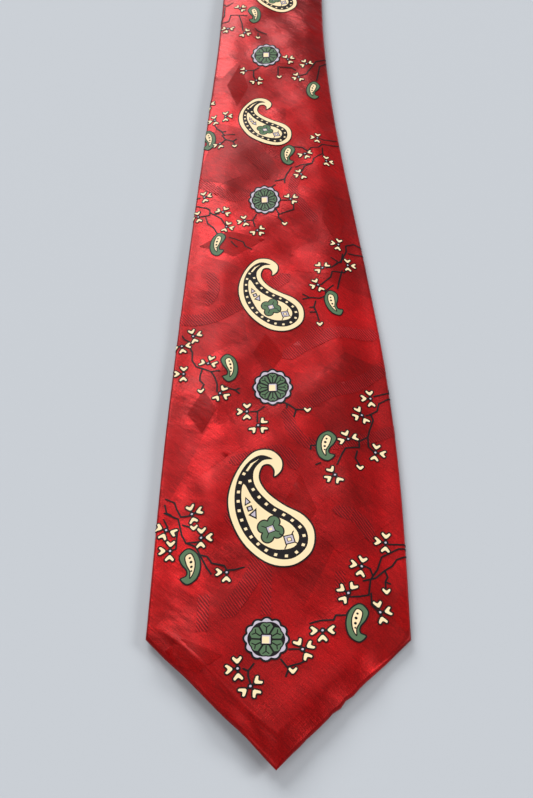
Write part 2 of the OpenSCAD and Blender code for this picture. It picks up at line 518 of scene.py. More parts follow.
def neck_filling(name, material, inset=2.0, thick=1.2):
    """The canvas strip that fills the neck and its bend."""
    points, flat = [], []
    stations = neck_stations(8.0)
    for y, z, out_y, out_z, half, along in stations:
        for side, face in ((-1, -1), (-1, 1), (1, 1), (1, -1), (-1, -1)):
            x = side * (half - inset)
            height = face * thick / 2
            points.append((x, y + out_y * height, z + out_z * height))
            flat.append((x, along))
    faces = grid_faces(len(stations), 5)
    return make_mesh(name, points, faces, [material], flat)


# ---------------------------------------------------------------- drawing the print

CREAM, BLACK, GREEN, LAVENDER = range(4)


def curve_piece(a, b, c, d, steps):
    """Points from b towards c, on a smooth curve through all four."""
    piece = []
    for t in np.arange(steps) / steps:
        piece.append(
            0.5 * (2 * b + (c - a) * t + (2 * a - 5 * b + 4 * c - d) * t * t
                   + (3 * b - a - 3 * c + d) * t ** 3)
        )
    return piece


def smooth_loop(corners, steps=5):
    """A closed smooth curve through the corners."""
    corners = np.array([corners[-1], *corners, *corners[:2]], float)
    curve = []
    for k in range(len(corners) - 3):
        curve += curve_piece(*corners[k : k + 4], steps)
    return np.array(curve)


def smooth_path(corners, steps=5):
    """An open smooth curve through the corners."""
    corners = np.array([corners[0], *corners, corners[-1]], float)
    curve = []
    for k in range(len(corners) - 3):
        curve += curve_piece(*corners[k : k + 4], steps)
    return [*curve, corners[-1]]


def turns_left(loop):
    """Whether a loop runs anticlockwise."""
    return np.sum(loop[:, 0] * np.roll(loop[:, 1], -1) - np.roll(loop[:, 0], -1) * loop[:, 1]) > 0


def grow(loop, distance):
    """The loop moved outward by a distance, inward where it is negative."""
    along = np.roll(loop, -1, axis=0) - np.roll(loop, 1, axis=0)
    along /= np.maximum(np.linalg.norm(along, axis=1), 1e-9)[:, None]
    outward = np.column_stack([along[:, 1], -along[:, 0]]) * (1 if turns_left(loop) else -1)
    return loop + outward * distance


def stroke(path, width):
    """A line of a given width along a path, with mitred bends and pointed ends."""
    path = np.asarray(path, float)
    step = path[1:] - path[:-1]
    step /= np.maximum(np.linalg.norm(step, axis=1), 1e-9)[:, None]
    side = np.column_stack([-step[:, 1], step[:, 0]])
    left, right = [], []
    for k, point in enumerate(path):
        a, b = side[max(k - 1, 0)], side[min(k, len(side) - 1)]
        bend = (a + b) / max(1 + float(a @ b), 0.35)
        left.append(point + bend * width / 2)
        right.append(point - bend * width / 2)
    start = path[0] - step[0] * width * 0.5
    end = path[-1] + step[-1] * width * 0.5
    return np.array([start, *left, end, *right[::-1]])


def outline(loop, width, length=4):
    """A line of a given width round a loop, drawn in short pieces."""
    closed = np.vstack([loop, loop[:1]])
    return [(stroke(closed[k : k + length + 1], width), BLACK) for k in range(0, len(loop), length)]


def disc(x, y, radius, sides=12):
    turn = 2 * math.pi * np.arange(sides) / sides
    return np.column_stack([x + radius * np.cos(turn), y + radius * np.sin(turn)])


def square(x, y, width, turn=0.0):
    return moved(disc(0, 0, width / ROOT2, 4), x, y, turn + 45)


def squares(x, y, turn, *rings):
    """Squares one inside another, each given by its width and ink."""
    return [(square(x, y, width, turn), ink) for width, ink in rings]


def polar(radius, angle):
    return radius * np.cos(angle), radius * np.sin(angle)


def moved(loop, x, y, turn=0.0, wide=1.0, tall=1.0):
    """A drawing turned by degrees, stretched and put at x, y."""
    angle = math.radians(turn)
    loop = np.asarray(loop, float)
    across = loop[:, 0] * math.cos(angle) - loop[:, 1] * math.sin(angle)
    up = loop[:, 0] * math.sin(angle) + loop[:, 1] * math.cos(angle)
    return np.column_stack([x + across * wide, y + up * tall])


def spaced(loop, count):
    """Points at equal distances round a loop, each with the direction of the loop there in degrees."""
    closed = np.vstack([loop, loop[:1]])
    step = np.linalg.norm(np.diff(closed, axis=0), axis=1)
    along = np.concatenate([[0], np.cumsum(step)])
    places = []
    for k in range(count):
        want = along[-1] * (k + 0.5) / count
        i = min(int(np.searchsorted(along, want)) - 1, len(step) - 1)
        point = mix(closed[i], closed[i + 1], (want - along[i]) / max(step[i], 1e-9))
        heading = closed[i + 1] - closed[i]
        places.append((point, math.degrees(math.atan2(heading[1], heading[0]))))
    return places


def big_paisley():
    outer = smooth_loop([
        (0.9, 14.3), (4.1, 17.7), (4.1, 23.2), (-0.5, 27.7), (-7.3, 27.3), (-12.7, 20.9), (-17, 11.4),
        (-18.3, 1.8), (-16.1, -8.2), (-10, -19.1), (-0.5, -26.8), (9.1, -27.7), (16.4, -21.4),
        (17.5, -11.8), (13.2, -4.5), (5.5, 0.7), (-1.8, 6.8), (-5.2, 13.2), (-4.1, 19.3), (-1.2, 20.3),
        (0.7, 17.7),
    ])
    band = smooth_loop([
        (0.2, 23.2), (-5, 25.1), (-10.2, 21.1), (-14.3, 13.2), (-15.5, 4.5), (-14.1, -5.5), (-9.1, -15.5),
        (-0.5, -23.2), (8.2, -24.8), (14.3, -19.1), (13.9, -10.9), (7.7, -4.3), (-0.5, 1.4), (-6.8, 9.1),
        (-7.7, 16.8), (-4.1, 22.3),
    ])
    heart = smooth_loop([
        (-11.8, 10.5), (-7.3, 2.7), (-0.5, -3.6), (7.3, -8.2), (11.1, -14.1), (9.1, -19.5), (1.8, -20.2),
        (-5.5, -15.5), (-10, -6.4), (-12.5, 2.7),
    ])
    shine = [(-11.1, 16.8), (-9.1, 20.5), (-5.5, 23.2), (-8, 20.5), (-10.2, 16.6)]
    drawing = [(outer, CREAM)] + outline(outer, 0.7) + [(band, BLACK), (heart, CREAM), (shine, CREAM)]
    for (x, y), heading in spaced(grow(band, -1.55), 30):
        if y < 15.5:
            drawing.append((square(x, y, 1.25, heading), CREAM))
    for corners in (((-11, 4.4), (-8.5, 1.8), (-11.2, 0.1)), ((-9.6, -4), (-6.3, -0.8), (-6, -6))):
        corners = np.array(corners, float)
        middle = corners.mean(axis=0)
        drawing.append((corners, BLACK))
        drawing.append((middle + (corners - middle) * 0.55, LAVENDER))
    drawing += squares(-9, -1, 20, (2.4, BLACK), (1.3, LAVENDER))
    drawing += flower(-0.3, -10.9)
    drawing += [(stroke([(3.2, -13.2), (5.2, -14.6)], 0.5), BLACK)]
    for x, y in ((8.9, -12), (5.5, -20.3), (10.9, -18)):
        drawing.append((stroke([(7.3, -15.9), (x, y)], 0.5), BLACK))
    return drawing + squares(7.3, -15.9, 15, (4.3, BLACK), (3.3, LAVENDER), (1.9, BLACK), (1.3, CREAM))


def flower(x, y):
    """The green flower of four lobes in the middle of a big paisley."""
    lobes = 4
    first = 68.0
    turn = 2 * math.pi * np.arange(64) / 64
    radius = 3.6 + 2.3 * np.abs(np.cos(lobes / 2 * (turn - math.radians(first)))) ** 0.7
    edge = np.column_stack([x + radius * 0.95 * np.cos(turn), y + radius * 1.1 * np.sin(turn)])
    drawing = [(edge, GREEN)] + outline(edge, 0.6)
    for k in range(lobes):
        angle = math.radians(first + 360 / lobes * k)
        a = (x + 1.8 * math.cos(angle), y + 1.8 * math.sin(angle))
        b = (x + 4.0 * math.cos(angle), y + 4.4 * math.sin(angle))
        drawing.append((stroke([a, b], 0.4), BLACK))
    return drawing + squares(x, y, 20, (3.4, BLACK), (2.6, LAVENDER), (1.2, CREAM))


def small_paisley():
    outer = smooth_loop([
        (-4.4, 5.2), (-1.2, 8.2), (2.9, 5.4), (4.5, -0.1), (3.3, -5.6), (-0.4, -7.9), (-3.4, -5.1),
        (-1.1, -3.9), (-1.2, -1.4), (-3.4, 1.6),
    ])
    heart = smooth_loop([
        (-2.1, 4.6), (0.2, 5.9), (2.1, 2.1), (2, -2.3), (0.5, -5.3), (0.3, -2.3), (-1.2, 0.7),
    ])
    drawing = [(outer, GREEN)] + outline(outer, 0.62) + [(heart, CREAM)] + outline(heart, 0.5)
    for x, y, radius in ((-0.1, 3.9, 0.5), (0.5, 2.0, 0.65), (0.8, -0.2, 0.6), (0.9, -2.1, 0.42)):
        drawing.append((disc(x, y, radius, 8), BLACK))
    return drawing


def rosette(petals):
    """A round flower: a scalloped pale rim, green petals and a cream square in the middle."""
    scallops = 12
    turn = 2 * math.pi * np.arange(96) / 96
    rim = 7.75 + 0.95 * np.abs(np.cos(turn * scallops / 2))
    edge = np.column_stack(polar(rim, turn))
    drawing = [(edge, LAVENDER)] + outline(edge, 0.8)
    inner = 6.75 + 0.45 * np.abs(np.cos(turn * petals / 2))
    drawing.append((np.column_stack(polar(inner, turn)), BLACK))
    # A petal's outline as radius and angle from its middle: one side, the notch and the other side.
    share = 2 * math.pi / petals
    gap = 0.36
    half_petal = [(r, share / 2 - math.asin(gap / r)) for r in (2.5, 4.0, 5.6)]
    half_petal += [(6.35, 0.55 * share / 2), (6.55, 0.3 * share / 2)]
    petal = [(r, -angle) for r, angle in half_petal] + [(6.2, 0.0)] + half_petal[::-1]
    for k in range(petals):
        middle = share * k + math.pi / 2
        drawing.append(([polar(r, middle + angle) for r, angle in petal], GREEN))
        vein = [polar(r, middle) for r in (2.6, 4.7)]
        drawing.append((stroke(vein, 0.52), BLACK))
        for side in (-1, 1):
            fork = [vein[1], polar(5.75, middle + side * share * 0.2)]
            drawing.append((stroke(fork, 0.45), BLACK))
    return drawing + squares(0, 0, 0, (4.3, BLACK), (3.3, LAVENDER)) + squares(-0.2, -0.2, 0, (2.7, CREAM))


# A petal that points along x: two round ends with a deep notch between them.
PETAL = (
    (1.8, 0.5), (2.9, 1.45), (4.0, 2.2), (4.9, 2.05), (5.25, 1.2), (4.6, 0.6), (4.15, 0),
    (4.6, -0.6), (5.25, -1.2), (4.9, -2.05), (4.0, -2.2), (2.9, -1.45), (1.8, -0.5),
)


def blossom(petals=3):
    """Cream heart-shaped petals round a ringed dot; the side towards its stem has none."""
    drawing = []
    for turn in (-90, 0, 90)[:petals]:
        petal = moved(PETAL, 0, 0, turn)
        drawing.append((stroke([(0, 0), moved([(2.2, 0)], 0, 0, turn)[0]], 0.9), BLACK))
        drawing += [(petal, CREAM)] + outline(petal, 0.62, 3)
    drawing += [(disc(0, 0, 1.25), BLACK), (disc(0, 0, 0.5, 8), LAVENDER)]
    return drawing


def bud():
    petal = moved(PETAL, 0, -3.4, 90)
    return [(petal, CREAM)] + outline(petal, 0.62, 3)


# ---------------------------------------------------------------- where the print's figures are

ROSETTES = (
    (-4.6, 49.1, 1.0, 1.03, 6),
    (-3.2, 171, 1.02, 1.16, 8),
    (-4.7, 293.6, 0.93, 1.2, 8),
    (-2.9, 416, 0.98, 1.2, 6),
)
BIG_PAISLEYS = (
    (-3.5, 108, 1.0, 1.0),
    (-3, 227, 0.86, 0.85),
    (-3.4, 356, 0.8, 0.74),
    (1, 482, 0.79, 0.78),
)
SMALL_PAISLEYS = (
    (-35.9, 81.1, 1, 0), (-22.7, 181.6, 1, 0), (-34.4, 343.7, 1, 0), (-10.7, 456, 1, 0),
    (30.2, 55.8, -1, 0), (19.8, 138.8, -1, 0), (26.4, 221.3, -1, -22), (-28.7, 260.9, -1, 0),
    (8.3, 327.8, -1, 0), (23.8, 384.3, -1, 0),
)
BLOSSOMS = (
    (-15, 37, 186), (-10, 30, 308), (9.2, 44.9, 30), (16.8, 52.8, 270), (27, 68.6, 145), (32.6, 80.4, 170),
    (42.9, 92.8, 175), (39.3, 61.3, 15), (-36.4, 105.7, 15), (-31.9, 93.8, 0), (-46.6, 98.9, 250),
    (-44.3, 89.1, 180), (22.9, 123.5, 210), (-14.6, 157.1, 180), (-9.6, 149.1, 315), (29.3, 142.9, 110),
    (40.9, 137.3, 350), (36, 156.9, 210), (40.4, 166.6, 185), (-39.9, 203.6, 15), (-32.4, 185.4, 65),
    (-26.6, 167.1, 330), (-43.6, 181, 180), (-45, 197.7, 280), (19.6, 232.7, 205), (22.3, 244.3, 130),
    (35.1, 248.8, 0), (31.3, 262, 170), (-15.1, 277.6, 190), (-8.9, 270.3, 310), (8.6, 293.7, 35),
    (-35.9, 298.4, 10), (-38.9, 284, 190), (-26.2, 284.8, 60), (-24.4, 273.7, 340), (17.4, 328.9, 290),
    (28.6, 324.2, 0), (24.7, 342.9, 175), (14.7, 312, 205), (-31.2, 359.6, 190), (-25.3, 360.9, 0),
    (-35.4, 374.9, 5), (-8.4, 392.7, 310), (9.6, 412.1, 30), (20.4, 408.2, 120), (15.7, 396.6, 210),
    (-19.6, 463.2, 40), (-26.2, 444.7, 245), (-16, 438.2, 330),
)
TWO_PETALS = ((-20.9, 78, 270), (-28.1, 338.7, 280), (-14.3, 401.6, 225))
BUDS = (
    (5.6, 36.2), (42.2, 70.6), (-35.2, 98.9), (12, 157.8), (33.8, 128.2), (-35.3, 169.4), (19.3, 207.8),
    (5, 275.6), (-20.1, 334.7), (-35, 370.9), (4.7, 396.4), (-8, 433.4),
)
TWIGS = (
    ((52, 92), (44, 92)),
    ((52, 90), (48, 90), (41, 86), (39, 80), (36, 75), (35, 68), (31, 67), (27, 67)),
    ((37, 77), (36, 80), (33, 81)),
    ((52, 87), (47, 85), (45, 82), (42, 80), (38, 76), (33, 74)),
    ((42, 80), (43, 77), (42, 75), (44, 74)),
    ((42, 75), (42, 72)),
    ((27, 61), (26, 59), (22, 59), (21, 57), (16, 57), (12, 56)),
    ((36, 69), (36, 64), (39, 61)),
    ((27, 67), (26, 64)),
    ((-48, 114), (-44, 112), (-43, 109), (-41, 105), (-37, 105)),
    ((-48, 111), (-47, 107), (-45, 106)),
    ((-48, 107), (-42, 104), (-41, 100), (-40, 96), (-38, 92), (-34, 90), (-32, 86), (-29, 80), (-27, 77)),
    ((-40, 101), (-38, 100), (-36, 99)),
    ((-38, 92), (-36, 92), (-32, 92)),
    ((-32, 86), (-29, 85), (-27, 82), (-22, 81), (-21, 79), (-18, 79), (-14, 80)),
    ((-48, 104), (-46, 100)),
    ((-42, 98), (-42, 90), (-44, 89)),
    ((-9, 39), (-11, 36), (-13, 37)),
    ((-11, 36), (-11, 34), (-10, 31)),
    ((4, 45), (8, 45)),
    ((1, 41), (4, 37), (5.5, 36)),
    ((4, 38), (8, 39), (10, 40)),
    ((4, 37), (3, 34)),
    ((-7, 160), (-10, 157), (-13, 157)),
    ((-10, 157), (-10, 151)),
    ((2, 162), (3.5, 161), (7, 158), (11, 158)),
    ((3, 161), (3, 159)),
    ((7, 158), (6, 154)),
    ((50, 173), (49, 170), (42, 168)),
    ((51, 168), (44, 164), (43, 160), (40, 158), (38, 157)),
    ((40, 158), (41, 155), (39, 149), (38, 145), (38, 140), (40, 138)),
    ((38, 145), (34, 142), (31, 143)),
    ((34, 142), (34, 139), (28, 138), (26, 134), (24, 129)),
    ((33, 137), (32, 133), (34, 129)),
    ((16, 139), (13, 139), (13, 137)),
    ((17, 130), (15, 129)),
    ((-45, 204), (-44, 202), (-41, 200)),
    ((-40, 200), (-42, 198), (-40, 194), (-40, 189), (-38, 185), (-35, 183), (-31, 180), (-27, 180)),
    ((-35, 183), (-36, 179), (-36, 176), (-34, 173), (-35, 171)),
    ((-31, 180), (-29, 176), (-28, 172), (-28, 168)),
    ((-26, 172), (-23, 170), (-20, 169), (-18, 167)),
    ((-20, 169), (-18, 170)),
    ((33, 256), (32, 250), (30, 249), (27, 245), (24, 244)),
    ((27, 252), (30, 250)),
    ((35, 246), (33, 243), (27, 242), (26, 238), (21, 233)),
    ((32, 244), (30, 236), (29, 231)),
    ((27, 233), (23, 229), (23, 226), (20, 224), (16, 224), (12, 223)),
    ((12, 226), (15, 224)),
    ((18, 222), (17, 218), (18, 215), (19, 210)),
    ((17, 218), (15, 218)),
    ((18, 215), (15, 215)),
    ((-9, 283), (-11, 278), (-14, 278)),
    ((-11, 278), (-10, 273)),
    ((1, 286), (2, 283), (2, 280), (5, 276)),
    ((2, 282), (6, 284), (10, 286), (10, 290)),
    ((3, 293), (8, 293)),
    ((-1, 303), (1, 305)),
    ((-40, 298), (-38, 298)),
    ((-40, 292), (-35, 290), (-33, 288), (-33, 284), (-38, 284)),
    ((-33, 286), (-31, 284), (-28, 284)),
    ((-35, 283), (-34, 278), (-31, 274), (-29, 269)),
    ((-31, 284), (-27, 280), (-25, 275)),
    ((-23, 265), (-20, 264), (-16, 262), (-15, 259), (-12, 257)),
    ((-22, 262), (-20, 259), (-19, 258)),
    ((35, 343), (28, 342), (25, 343)),
    ((36, 339), (27, 338), (25, 335), (21, 334), (19, 331)),
    ((27, 335), (27, 330), (22, 325), (21, 321), (17, 319), (15, 314)),
    ((10, 335), (16, 334), (19, 331)),
    ((21, 321), (15, 320), (12, 318)),
    ((10, 318), (7, 312), (6, 309), (1, 308)),
    ((6, 309), (6, 306)),
    ((27, 330), (28, 326)),
    ((-31, 355), (-30, 352), (-27, 348), (-25, 348)),
    ((-27, 348), (-26, 345), (-20, 345)),
    ((-27, 345), (-25, 341), (-21, 339), (-19, 341)),
    ((-25, 341), (-27, 339)),
    ((-21, 339), (-20, 336)),
    ((44, 256), (36, 257)),
    ((44, 261), (39, 264), (35, 262), (35, 258), (32, 251), (27, 245)),
    ((-7, 405), (-10, 402), (-13, 402)),
    ((-10, 402), (-10, 396), (-9, 394)),
    ((4, 405), (12, 405), (14, 403)),
    ((4, 405), (4, 398)),
    ((32, 416), (26, 412), (24, 407), (20, 399), (16, 398)),
    ((32, 412), (28, 408), (27, 400), (26, 394)),
    ((-30, 472), (-28, 469), (-24, 471)),
    ((-29, 468), (-29, 459), (-32, 452), (-26, 452), (-25, 458), (-20, 456), (-15, 455)),
    ((-20, 456), (-18, 448), (-17, 440)),
    ((-10, 443), (-8, 440), (-3, 437)),
    ((-8, 438), (-8, 435)),
)
TWIG_WIDE = 0.72

# Figures woven into the cloth in the same red, as outlines, whose lighter and darker reds below are painted
# sheen and shade; the bands are paths with a width, and the leaves are (x, s, width, length, lean in
# degrees).
DULL, BRIGHT, RIBBED = range(3)
DULL_FIGURES = (
    ((8.4, 124), (15, 106), (9, 95), (2, 111)),
    ((-37, 50), (-46, 43.5), (-30, 35), (-21, 42)),
    ((49, 72), (51, 66), (50, 52), (43, 61)),
    ((-34, 170), (-28, 158), (-34, 146), (-41, 158)),
    ((-38, 262.6), (-22, 270), (-5, 264), (-21, 251.4)),
    ((-18, 408), (-13, 387), (-19, 369), (-25, 389)),
    ((30, 300), (36, 282), (31, 262), (24, 280)),
    ((-6, 202), (2, 190), (-5, 178), (-12, 190)),
)
BRIGHT_FIGURES = (
    ((26, 355), (32, 340), (25, 314), (18, 340)),
    ((8, 258), (30, 252), (27, 240), (6, 243)),
    ((-36, 322), (-24, 326), (-16, 312), (-30, 304)),
    ((14, 96), (40, 112), (47, 104), (24, 86)),
    ((-44, 140), (-22, 152), (-16, 138), (-34, 124)),
)
RIBBED_FIGURES = (
    ((-7, 59), (-3, 59), (-3, 80), (-7, 80)),
    ((22, 65), (26, 65), (26, 78), (22, 78)),
    ((-31.6, 52), (-27, 52), (-27, 68), (-31.6, 68)),
)
RIBBED_BANDS = (
    (((10, 160), (20, 167), (34, 173), (51, 188)), 6.5),
    (((3, 157), (6, 146), (16, 139), (34, 143), (51, 150)), 5.5),
    (((-46, 214), (-30, 214), (-14, 224), (4, 238)), 7),
    (((-40, 312), (-22, 296), (-14, 300)), 6),
    (((4, 190), (24, 202), (44, 204)), 7),
    (((-20, 60), (-8, 84), (-20, 104)), 7),
    (((20, 280), (10, 300), (16, 318)), 5),
    (((-20, 130), (0, 136), (6, 128)), 5),
)
LEAVES = ((-33, 232, 11, 21, 0), (12, 200, 12, 24, -40), (-8, 318, 10, 20, 30), (30, 100, 12, 22, 50))


def woven_figures():
    """The figures in the weave, in the same form as the print's."""
    figures = []
    for weave, loops in ((DULL, DULL_FIGURES), (BRIGHT, BRIGHT_FIGURES), (RIBBED, RIBBED_FIGURES)):
        figures += [(loop, weave) for loop in loops]
    for path, wide in RIBBED_BANDS:
        figures.append((stroke(smooth_path(path), wide), RIBBED))
    turn = 2 * math.pi * np.arange(20) / 20
    for x, s, wide, tall, lean in LEAVES:
        pinch = np.abs(np.sin(turn / 2 + math.pi / 4))
        leaf = np.column_stack([np.sin(turn) * wide / 2 * pinch, np.cos(turn) * tall / 2])
        figures.append((moved(leaf, x, s, lean), RIBBED))
    return [([(np.asarray(loop, float), weave)], 0, k) for k, (loop, weave) in enumerate(figures)]


def shrink(s):
    """The figures get a little smaller away from the tip."""
    return mix(1.0, 0.82, ease((s - 60) / 260))


def main_print():
    """Every figure of the print once, as (coloured loops on the flat cloth, place along it, layer)."""
    figures = [([(stroke(path, TWIG_WIDE), BLACK)], path[0][1], 0) for path in TWIGS]

    def put(drawing, x, s, turn, wide, tall, layer=1):
        loops = [(moved(loop, x, s, turn, wide, tall), ink) for loop, ink in drawing]
        figures.append((loops, s, layer))

    for x, s, wide, tall, petals in ROSETTES:
        put(rosette(petals), x, s, 0, wide, tall)
    for x, s, wide, tall in BIG_PAISLEYS:
        put(big_paisley(), x, s, 0, wide, tall)
    for x, s, hand, turn in SMALL_PAISLEYS:
        put(small_paisley(), x, s, turn, hand * (1.0 if s < 150 else 0.87), 1.0)
    for x, s, turn in BLOSSOMS:
        put(blossom(), x, s, turn, 0.95 * shrink(s), 0.95 * shrink(s), 2)
    for x, s, turn in TWO_PETALS:
        put(blossom(2), x, s, turn, 0.9 * shrink(s), 0.9 * shrink(s), 2)
    for x, s in BUDS:
        put(bud(), x, s, 0, 0.85 * shrink(s), 0.85 * shrink(s), 2)
    return figures


# The print's repeat along the cloth, and how far the figures above reach.
PRINT_REPEAT = 122.5
PRINT_END = 510.0

# Stretches of the print that are laid again, a whole number of repeats on, where the figures above end.
FACE_STRETCH = (150, 260)
FLAP_STRETCH = (110, 232)
TAIL_STRETCH = (140, 200)

# How far the tail's figures stay from the edges of its point.
POINT_MARGIN = 4


def copies(figures, start, end, shift, mirror=1, side=0, keep=None):
    """The figures from start to end, moved along the cloth, where keep allows.

    They may be mirrored, or put on the wide end's left or right flap by a side of -1 or 1."""
    moved_figures = []
    for loops, s, layer in figures:
        if not start <= s < end:
            continue
        across = side * (1.5 * float(blade_half(s + shift)) + 5)
        placed = [(loop * (mirror, 1) + (across, shift), ink) for loop, ink in loops]
        if keep is None or all(np.all(keep(loop[:, 0], loop[:, 1])) for loop, _ in placed):
            moved_figures.append((placed, s + shift, layer))
    return moved_figures


def on_flap(x, s):
    """Whether places on the flat cloth are on the wide end's back flaps."""
    return (np.abs(x) > blade_half(s) + 1.5) & (s > 68)


def blade_print():
    """The print on the wide end: its face, then both back flaps."""
    once = main_print()
    figures = copies(once, 0, PRINT_END, 0)
    figures += copies(once, *FACE_STRETCH, 3 * PRINT_REPEAT)
    for side in (-1, 1):
        along = 60 - 30 * side
        figures += copies(once, 0, 470, along, side=side, keep=on_flap)
        figures += copies(once, *FLAP_STRETCH, 3 * PRINT_REPEAT + along, side=side, keep=on_flap)
    return figures


def tail_print():
    """The print on the narrow end, which hides most of it underneath."""

    def clear(x, s):
        if np.max(np.abs(x)) < TAIL_WIDE / 2:
            return s > np.abs(x) + POINT_MARGIN
        return s > TAIL_WIDE / 2 + POINT_MARGIN

    once = main_print()
    figures = copies(once, 0, PRINT_END, -PRINT_REPEAT, mirror=-1, keep=clear)
    return figures + copies(once, *TAIL_STRETCH, 2 * PRINT_REPEAT, mirror=-1)


def neck_print():
    """The print on the neck, with no figure across the bend."""
    bend_end = BLADE_LENGTH + math.pi * BEND_RADIUS

    def clear(_, s):
        return np.all(s < BLADE_LENGTH) or np.all(s > bend_end)

    return copies(main_print(), 20, 350, BLADE_SEAM - 20, keep=clear)


def cut_up(panel, loops):
    """Splits long sides of the loops, finely where the cloth goes round an edge."""
    done = []
    for loop in loops:
        loop = np.asarray(loop, float)
        if not turns_left(loop):
            loop = loop[::-1]
        points = []
        for a, b in zip(loop, np.roll(loop, -1, axis=0)):
            middle = (a + b) / 2
            past = abs(middle[0]) - (float(panel.half(middle[1])) - panel.radius)
            fine = -3 < past < panel.radius * math.pi + 3
            pieces = max(1, int(np.linalg.norm(b - a) / (0.5 if fine else 3.0)))
            points += [mix(a, b, k / pieces) for k in range(pieces)]
        done.append(np.array(points))
    return done


def fill_points(panel, loops):
    """Extra points inside a figure, so that its ink follows the cloth."""
    low = np.min([l.min(axis=0) for l in loops], axis=0)
    high = np.max([l.max(axis=0) for l in loops], axis=0)
    spots = []
    if min(high - low) > 4:
        for x in np.arange(low[0] + 1.5, high[0] - 1, 2.5):
            for s in np.arange(low[1] + 1.5, high[1] - 1, 2.5):
                spots.append((x, s))
    for sign in (-1, 1):
        middle = (low[1] + high[1]) / 2
        edge = float(panel.half(middle)) - panel.radius
        if max(sign * low[0], sign * high[0]) > edge - 1:
            for x in np.arange(edge, edge + math.pi * panel.radius + 0.4, 0.45):
                if low[0] < sign * x < high[0]:
                    for s in np.arange(low[1], high[1], 1.5):
                        spots.append((sign * x, s))
    return spots


def cloth_edge(panel, low, high):
    """The outline of the flat cloth between two places along it."""
    s = np.arange(low - 4, high + 8, 4.0)
    reach = panel.reach(s)
    return np.vstack([np.column_stack([reach, s]), np.column_stack([-reach, s])[::-1]])


def ink_layer(panel, figures, lift, gap=0.02):
    """Triangles of ink on the folded tie: points, their places on the flat cloth, faces and inks."""
    points, places, faces, inks, total = [], [], [], [], 0
    for drawing, _, layer in figures:
        loops = cut_up(panel, [loop for loop, _ in drawing])
        low = min(float(loop[:, 1].min()) for loop in loops)
        high = max(float(loop[:, 1].max()) for loop in loops)
        spots = fill_points(panel, loops)
        flat, outlines = [], []
        for loop in [cloth_edge(panel, low, high), *loops]:
            outlines.append(list(range(len(flat), len(flat) + len(loop))))
            flat += [Vector((float(x), float(s))) for x, s in loop]
        flat += [Vector((float(x), float(s))) for x, s in spots]
        corners, _, triangles, _, _, within = delaunay_2d_cdt(flat, [], outlines, 1, 1e-4, True)
        corners = np.array([(v.x, v.y) for v in corners])
        # Outline 0 is the cloth's own, and the last one drawn of the others gives the ink.
        kept = [(face, max(own)) for face, own in zip(triangles, within) if 0 in own and len(own) > 1]
        used = sorted({i for face, _ in kept for i in face})
        number = {old: total + new for new, old in enumerate(used)}
        for face, owner in kept:
            faces.append([number[i] for i in face])
            inks.append(drawing[owner - 1][1])
        if used:
            corners = corners[used]
            places.append(corners)
            points.append(panel.place(corners[:, 0], corners[:, 1], lift + gap * layer))
            total += len(corners)
    return np.vstack(points), np.vstack(places), faces, inks


# ---------------------------------------------------------------- materials


def new_material(name):
    material = bpy.data.materials.new(name)
    material.use_nodes = True
    tree = material.node_tree
    shader = tree.nodes["Principled BSDF"]
    return material, tree, shader


def set_values(shader, values):
    """Constants on a shader's own sockets, by the sockets' names."""
    for name, value in values.items():
        shader.inputs[name].default_value = value


def rgb(red, green, blue):
    """A colour given in sRGB from 0 to 255, as the linear values that shaders use."""
    return tuple(
        (c / 255 / 12.92 if c <= 10 else ((c / 255 + 0.055) / 1.055) ** 2.4) for c in (red, green, blue)
    ) + (1.0,)


def add(tree, kind, **inputs):
    node = tree.nodes.new(kind)
    for key, value in inputs.items():
        if key in node.inputs:
            node.inputs[key].default_value = value
        else:
            setattr(node, key, value)
    return node


def cloth_place(tree, turn=0.0, stretch=1.0):
    """The place on the flat cloth, in tenths of a metre, turned by degrees and drawn out along y."""
    uv = add(tree, "ShaderNodeUVMap", uv_map="cloth")
    mapping = add(tree, "ShaderNodeMapping", vector_type="TEXTURE")
    mapping.inputs["Rotation"].default_value = (0, 0, math.radians(turn))
    mapping.inputs["Scale"].default_value = (1, stretch, 1)
    tree.links.new(uv.outputs["UV"], mapping.inputs["Vector"])
    return mapping.outputs["Vector"]


def noise(tree, place, scale, detail=3.0, rough=0.5):
    node = add(tree, "ShaderNodeTexNoise", Scale=scale, Detail=detail, Roughness=rough)
    tree.links.new(place, node.inputs["Vector"])
    return node.outputs["Fac"]


def ramp(tree, value, stops):
    """A colour ramp; stops are (place, colour)."""
    node = add(tree, "ShaderNodeValToRGB")
    points = node.color_ramp.elements
    while len(points) < len(stops):
        points.new(0.5)
    for point, (at, colour) in zip(points, stops):
        point.position = at
        point.color = colour
    tree.links.new(value, node.inputs["Fac"])
    return node.outputs["Color"]


def grey(value):
    return (value, value, value, 1.0)


def bump(tree, shader, heights):
    """Bumps from (height socket, strength, depth in metres), one on another."""
    last = None
    for height, strength, depth in heights:
        node = add(tree, "ShaderNodeBump", Strength=strength, Distance=depth)
        tree.links.new(height, node.inputs["Height"])
        if last:
            tree.links.new(last, node.inputs["Normal"])
        last = node.outputs["Normal"]
    tree.links.new(last, shader.inputs["Normal"])


def multiply(tree, first, second, share=1.0):
    node = add(tree, "ShaderNodeMix", data_type="RGBA", blend_type="MULTIPLY")
    node.inputs[0].default_value = share
    tree.links.new(first, node.inputs[6])
    tree.links.new(second, node.inputs[7])
    return node.outputs[2]


